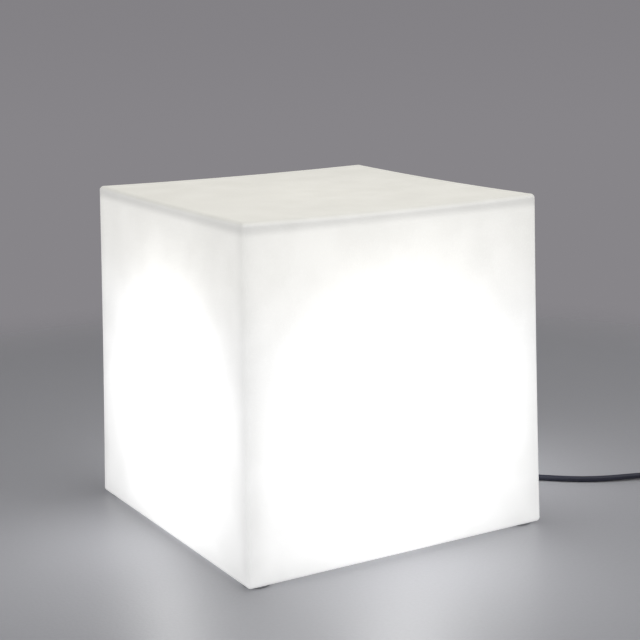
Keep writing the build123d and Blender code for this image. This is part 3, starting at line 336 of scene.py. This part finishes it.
def wave(tree, place, rate, direction):
    """Even bands that wander a little."""
    inputs = {"Vector": place, "Scale": rate, "Distortion": WEAVE_WANDER}
    return add_node(tree, "ShaderNodeTexWave", inputs, bands_direction=direction).outputs["Fac"]


def woven_finish():
    """The tie's narrow woven tape: ribs across it and threads along it."""
    material, tree, shader = new_finish("tie_fabric_finish")
    across = -RIGHT.to_2d().angle_signed(Vector((1, 0)))
    inputs = {"Vector": object_place(tree), "Rotation": (0, 0, across)}
    turned = add_node(tree, "ShaderNodeMapping", inputs).outputs[0]
    ribs = wave(tree, turned, RIBS_PER_METRE, "X")
    weave = maths(tree, "MULTIPLY", ribs, wave(tree, turned, THREADS_PER_METRE, "Y"))
    link(tree, tint(tree, weave, *TAPE_COLOURS), shader, "Base Color")
    link(tree, bump(tree, weave, WEAVE_DEPTH), shader, "Normal")
    shader.inputs["Roughness"].default_value = TAPE_ROUGHNESS
    shader.inputs["Sheen Weight"].default_value = TAPE_SHEEN
    return material


def spangled_finish():
    """Galvanised sheet: flat crystals that differ a little in tone and gloss."""
    dull, dark = SPANGLE_ROUGHNESS[1], SPANGLE_COLOURS[0]
    material, tree, shader = moulded(
        "bracket_steel_finish", dark, dull, SPANGLE_GRAIN, SPANGLE_GRAIN_DEPTH, metallic=1.0
    )
    inputs = {"Vector": object_place(tree), "Scale": SPANGLES_PER_METRE}
    cells = add_node(tree, "ShaderNodeTexVoronoi", inputs).outputs["Color"]
    tone = add_node(tree, "ShaderNodeSeparateColor", {0: cells}).outputs[0]
    link(tree, tint(tree, tone, *SPANGLE_COLOURS), shader, "Base Color")
    link(tree, ramp(tree, tone, 0.0, 1.0, *SPANGLE_ROUGHNESS), shader, "Roughness")
    return material


def cord_finish():
    """Dark blue-grey rubber, finely grained and slightly dusty."""
    material, tree, shader = moulded(
        "cord_rubber_finish", CORD_COLOUR, CORD_ROUGHNESS, CORD_GRAIN, CORD_GRAIN_DEPTH
    )
    dust = ramp(tree, noise(tree, object_place(tree), DUST_SIZE, DUST_DETAIL), DUST_FROM, DUST_TO)
    link(tree, tint(tree, dust, CORD_COLOUR, CORD_DUST), shader, "Base Color")
    return material


# slot: colour, roughness, size of grain, depth of grain, metallic
PLAIN_FINISHES = {
    "foot_rubber": ((0.50, 0.51, 0.52), 0.75, 0.0010, 0.00008, 0.0),
    "base_plastic": ((0.78, 0.78, 0.76), 0.50, 0.0012, 0.00006, 0.0),
    "vent_plastic": ((0.10, 0.10, 0.105), 0.45, 0.0009, 0.00005, 0.0),
    "black_rubber": ((0.030, 0.030, 0.031), 0.70, 0.0008, 0.00006, 0.0),
    "holder_plastic": ((0.83, 0.82, 0.79), 0.32, 0.0015, 0.00003, 0.0),
    "core_ceramic": ((0.86, 0.85, 0.80), 0.60, 0.0007, 0.00008, 0.0),
    "block_plastic": ((0.80, 0.80, 0.74), 0.35, 0.0010, 0.00003, 0.0),
    "lead_brown": ((0.20, 0.085, 0.035), 0.38, 0.0010, 0.00003, 0.0),
    "lead_blue": ((0.045, 0.13, 0.42), 0.38, 0.0010, 0.00003, 0.0),
    "gland_plastic": ((0.045, 0.045, 0.050), 0.40, 0.0009, 0.00004, 0.0),
    "plug_rubber": ((0.028, 0.029, 0.034), 0.55, 0.0009, 0.00008, 0.0),
    "cap_glass": ((0.030, 0.030, 0.040), 0.12, 0.0020, 0.00002, 0.0),
    "housing_plastic": ((0.87, 0.87, 0.85), 0.42, 0.0010, 0.00004, 0.0),
    "board_white": ((0.84, 0.84, 0.83), 0.40, 0.0008, 0.00002, 0.0),
    "steel_screw": ((0.62, 0.62, 0.60), 0.30, 0.0004, 0.00001, 1.0),
    "zinc_steel": ((0.66, 0.65, 0.58), 0.34, 0.0005, 0.00001, 1.0),
    "contact_metal": ((0.75, 0.75, 0.73), 0.28, 0.0006, 0.00001, 1.0),
    "contact_brass": ((0.72, 0.55, 0.26), 0.30, 0.0006, 0.00001, 1.0),
    "pin_nickel": ((0.78, 0.77, 0.74), 0.20, 0.0005, 0.00001, 1.0),
}


def make_finishes():
    finishes = {slot: moulded(slot + "_finish", *values)[0] for slot, values in PLAIN_FINISHES.items()}
    finishes["opal_shell"] = opal_shell_finish()
    finishes["opal_globe"] = lit_finish("opal_globe_finish", GLOBE_COLOUR, GLOBE_STRENGTH)
    finishes["led_phosphor"] = lit_finish("led_phosphor_finish", CHIP_COLOUR, CHIP_STRENGTH)
    finishes["tie_fabric"] = woven_finish()
    finishes["bracket_steel"] = spangled_finish()
    finishes["cord_rubber"] = cord_finish()
    return finishes


def dress_cad_nodes(finishes):
    """Each CAD node gets the finish of its slot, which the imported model's materials are named after."""
    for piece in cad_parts.values():
        for held in piece.material_slots:
            held.material = finishes[held.material.name]


# ---- camera, lamps, world and floor ----
def add_camera():
    turn, tilt, roll = radians(CAMERA_TURN), radians(CAMERA_TILT), radians(CAMERA_ROLL)
    back = Vector((sin(turn) * cos(tilt), -cos(turn) * cos(tilt), sin(tilt)))
    level = Vector((cos(turn), sin(turn), 0.0))
    upright = back.cross(level)
    right = level * cos(roll) + upright * sin(roll)
    up = upright * cos(roll) - level * sin(roll)
    camera = bpy.data.objects.new("camera", bpy.data.cameras.new("camera"))
    camera.data.lens = CAMERA_LENS
    camera.data.sensor_width = CAMERA_SENSOR
    turned = Matrix((right, up, back)).transposed().to_4x4()
    camera.matrix_world = Matrix.Translation(CAMERA_AT) @ turned
    bpy.context.scene.collection.objects.link(camera)
    bpy.context.scene.camera = camera


def add_lamps():
    for name, place, size, power in LAMPS:
        lamp = bpy.data.lights.new(name, "AREA")
        lamp.shape = "DISK"
        lamp.size = size
        lamp.energy = power
        holder = bpy.data.objects.new(name, lamp)
        holder.location = place
        aim = Vector(place).to_track_quat("Z", "Y")  # from the cube out, because a lamp shines backwards
        holder.rotation_euler = aim.to_euler()
        bpy.context.scene.collection.objects.link(holder)


def add_world():
    """Even pale light, with a grey backdrop wherever it is seen itself, also in glass and metal."""
    world = bpy.data.worlds.new("studio")
    world.use_nodes = True
    tree = world.node_tree
    tree.nodes.clear()
    rays = add_node(tree, "ShaderNodeLightPath").outputs
    seen = maths(tree, "MAXIMUM", rays["Is Camera Ray"], rays["Is Glossy Ray"])
    seen = maths(tree, "MAXIMUM", seen, rays["Is Transmission Ray"])
    level = component(tree, add_node(tree, "ShaderNodeTexCoord").outputs["Generated"], 2)
    rise = ramp(tree, level, BACKDROP_TURN, 0.0)
    low, high = scaled(BACKDROP_COLOUR, 2.0 - BACKDROP_TOP), scaled(BACKDROP_COLOUR, BACKDROP_TOP)
    backdrop = tint(tree, rise, low, high)
    colour = tint(tree, seen, (WORLD_LIGHT, WORLD_LIGHT, WORLD_LIGHT), backdrop)
    background = add_node(tree, "ShaderNodeBackground", {"Color": colour, "Strength": 1.0})
    add_node(tree, "ShaderNodeOutputWorld", {"Surface": background.outputs[0]})
    bpy.context.scene.world = world


def floor_finish():
    """A plain, slightly glossy surface whose far edge fades into the backdrop."""
    material, tree, shader = new_finish("floor_finish")
    place = object_place(tree)
    grain = clouds(tree, place, FLOOR_GRAIN, GRAIN_DETAIL)
    dark, pale = scaled(FLOOR_COLOUR, 1.0 - FLOOR_MOTTLE), scaled(FLOOR_COLOUR, 1.0 + FLOOR_MOTTLE)
    link(tree, tint(tree, grain, dark, pale), shader, "Base Color")
    link(tree, bump(tree, grain, FLOOR_GRAIN_DEPTH), shader, "Normal")
    shader.inputs["Roughness"].default_value = FLOOR_ROUGHNESS
    out = add_node(tree, "ShaderNodeVectorMath", {0: place}, operation="LENGTH").outputs["Value"]
    clear = add_node(tree, "ShaderNodeBsdfTransparent").outputs[0]
    fade = ramp(tree, out, FLOOR_FADE_FROM, FLOOR_FADE_TO)
    mixed = add_node(tree, "ShaderNodeMixShader", {0: fade, 1: shader.outputs[0], 2: clear})
    output = next(made for made in tree.nodes if made.type == "OUTPUT_MATERIAL")
    tree.links.new(mixed.outputs[0], output.inputs["Surface"])
    return material


def add_floor():
    bpy.ops.mesh.primitive_circle_add(
        vertices=FLOOR_SIDES, radius=FLOOR_RADIUS, fill_type="NGON", location=(0, 0, 0)
    )
    floor = bpy.context.object
    floor.name = "floor"
    floor.data.materials.append(floor_finish())


# ---- cord ----
def coil_stations():
    """Radius and height after each half turn: in along the floor, up a layer, and out again on top."""
    climb = COIL_HALF_TURNS // 2
    stations = []
    for index in range(COIL_HALF_TURNS + 1):
        steps = climb - index if index <= climb else index - climb - 1
        radius = COIL_INNER_R + steps * COIL_PITCH / 2 + (COIL_DRAWN_IN if steps else 0.0)
        stations.append((radius, COIL_LOW_Z if index <= climb else COIL_HIGH_Z))
    return stations


def coil_points():
    """Control points of the turns, a little outside the line, because the curve cuts inside its points."""
    outside = 1 / cos(pi / COIL_STEPS / 2)
    points = []
    stations = coil_stations()
    for index, (here, there) in enumerate(zip(stations, stations[1:])):
        for step in range(1, COIL_STEPS + 1):
            share = step / COIL_STEPS
            angle = pi * (index + share)
            radius = (here[0] + (there[0] - here[0]) * share) * outside
            height = here[1] + (there[1] - here[1]) * share
            outward = RIGHT * -cos(angle) + HEADING * sin(angle)
            points.append(Vector((COIL_CENTRE.x, COIL_CENTRE.y, height)) + outward * radius)
    return points


def tail_points():
    """From the end of the coil up to the middle of the plug's boot."""
    start = COIL_CENTRE - RIGHT * coil_stations()[-1][0]
    start.z = COIL_HIGH_Z
    rise = Vector((0.0, 0.0, TAIL_RISE))
    end = start + HEADING * TAIL_RUN + rise
    bends = [start + HEADING * TAIL_RUN * along + rise * up for along, up in TAIL_BENDS]
    return [*bends, end, end + HEADING * TAIL_STRAIGHT]


def add_cord(finish, tie):
    curve = bpy.data.curves.new("cord_run", "CURVE")
    curve.dimensions = "3D"
    curve.bevel_depth = CORD_RADIUS
    curve.bevel_resolution = CORD_SECTION_STEPS
    curve.resolution_u = CORD_RUN_STEPS
    curve.use_fill_caps = True
    points = CORD_ROUTE + [COIL_START] + coil_points() + tail_points()
    spline = curve.splines.new("NURBS")
    spline.points.add(len(points) - 1)
    for held, point in zip(spline.points, points):
        held.co = (*point, 1.0)
    spline.order_u = CORD_ORDER
    spline.use_endpoint_u = True
    curve.materials.append(finish)
    cord = bpy.data.objects.new("cord_run", curve)
    bpy.context.scene.collection.objects.link(cord)
    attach(cord, "base_unit")
    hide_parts("cord", "cord_coil")


# ---- tie ----
def rounded_loop(half_x, half_y, corner):
    """Points and outward directions round a rectangle with rounded corners."""
    loop = []
    centres = [(1, 1), (-1, 1), (-1, -1), (1, -1)]
    for index, (sign_x, sign_y) in enumerate(centres):
        for step in range(TIE_CORNER_STEPS + 1):
            angle = pi / 2 * (index + step / TIE_CORNER_STEPS)
            out = Vector((cos(angle), sin(angle)))
            turn = Vector((sign_x * (half_x - corner), sign_y * (half_y - corner)))
            loop.append((turn + out * corner, out))
        after = centres[(index + 1) % len(centres)]
        start = loop[-1][0]
        angle = pi / 2 * (index + 1)
        out = Vector((cos(angle), sin(angle)))
        end = Vector((after[0] * (half_x - corner), after[1] * (half_y - corner))) + out * corner
        loop += [(start.lerp(end, step / TIE_SIDE_STEPS), out) for step in range(1, TIE_SIDE_STEPS)]
    return loop


def strap_vertices(path):
    """Flat sections with rounded edges, one at each (point, outward direction) pair of the path."""
    vertices = []
    for point, out in path:
        middle = COIL_CENTRE + RIGHT * point.x
        middle.z = point.y
        thick = RIGHT * out.x + Vector((0.0, 0.0, out.y))
        for step in range(TIE_SECTION_STEPS):
            angle = 2 * pi * step / TIE_SECTION_STEPS
            wide = copysign(abs(cos(angle)) ** TIE_SQUARE_WIDE, cos(angle)) * TIE_WIDTH / 2
            deep = copysign(abs(sin(angle)) ** TIE_SQUARE_DEEP, sin(angle)) * TIE_THICKNESS / 2
            vertices.append(tuple(middle + HEADING * wide + thick * deep))
    return vertices


def strap_faces(count, closed):
    """Quads between that many sections, and a cap on each end of a strap that isn't a closed loop."""
    faces = []
    for index in range(count if closed else count - 1):
        here, there = index * TIE_SECTION_STEPS, (index + 1) % count * TIE_SECTION_STEPS
        for step in range(TIE_SECTION_STEPS):
            after = (step + 1) % TIE_SECTION_STEPS
            faces.append((here + step, here + after, there + after, there + step))
    if not closed:
        last = (count - 1) * TIE_SECTION_STEPS
        faces.append(tuple(range(TIE_SECTION_STEPS))[::-1])
        faces.append(tuple(last + step for step in range(TIE_SECTION_STEPS)))
    return faces


def strap_mesh(name, path, closed, finish):
    """A flat strap along a path in the coil's radial plane."""
    mesh = bpy.data.meshes.new(name)
    mesh.from_pydata(strap_vertices(path), [], strap_faces(len(path), closed))
    mesh.materials.append(finish)
    for face in mesh.polygons:
        face.use_smooth = True
    piece = bpy.data.objects.new(name, mesh)
    bpy.context.scene.collection.objects.link(piece)
    return piece


def add_tie(finish):
    """A strap round the bundle, far from where the cord comes in, with its loose end on itself."""
    inner_from = COIL_INNER_R - CORD_RADIUS - TIE_GAP
    inner_to = COIL_OUTER_R - COIL_PITCH / 2 + CORD_RADIUS + TIE_GAP
    low = COIL_LOW_Z - CORD_RADIUS - TIE_GAP
    high = COIL_HIGH_Z + CORD_RADIUS + TIE_GAP
    half_x = (inner_to - inner_from + TIE_THICKNESS) / 2
    half_y = (high - low + TIE_THICKNESS) / 2
    centre = Vector(((inner_from + inner_to) / 2, (low + high) / 2))
    loop = rounded_loop(half_x, half_y, TIE_CORNER)
    band = [(centre + point, out) for point, out in loop]
    tie = strap_mesh("coil_tie_strap", band, closed=True, finish=finish)
    first, last = int(len(loop) * TIE_FLAP_FROM), int(len(loop) * TIE_FLAP_TO)
    flap = [(point + out * TIE_THICKNESS, out) for point, out in band[first:last]]
    end = strap_mesh("coil_tie_end", flap, closed=False, finish=finish)
    end.parent = tie
    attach(tie, "base_unit")
    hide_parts("coil_tie")
    return tie


bpy.context.scene.view_settings.view_transform = "Standard"
add_camera()
finishes = make_finishes()
dress_cad_nodes(finishes)
add_cord(finishes["cord_rubber"], add_tie(finishes["tie_fabric"]))
add_floor()
add_world()
add_lamps()
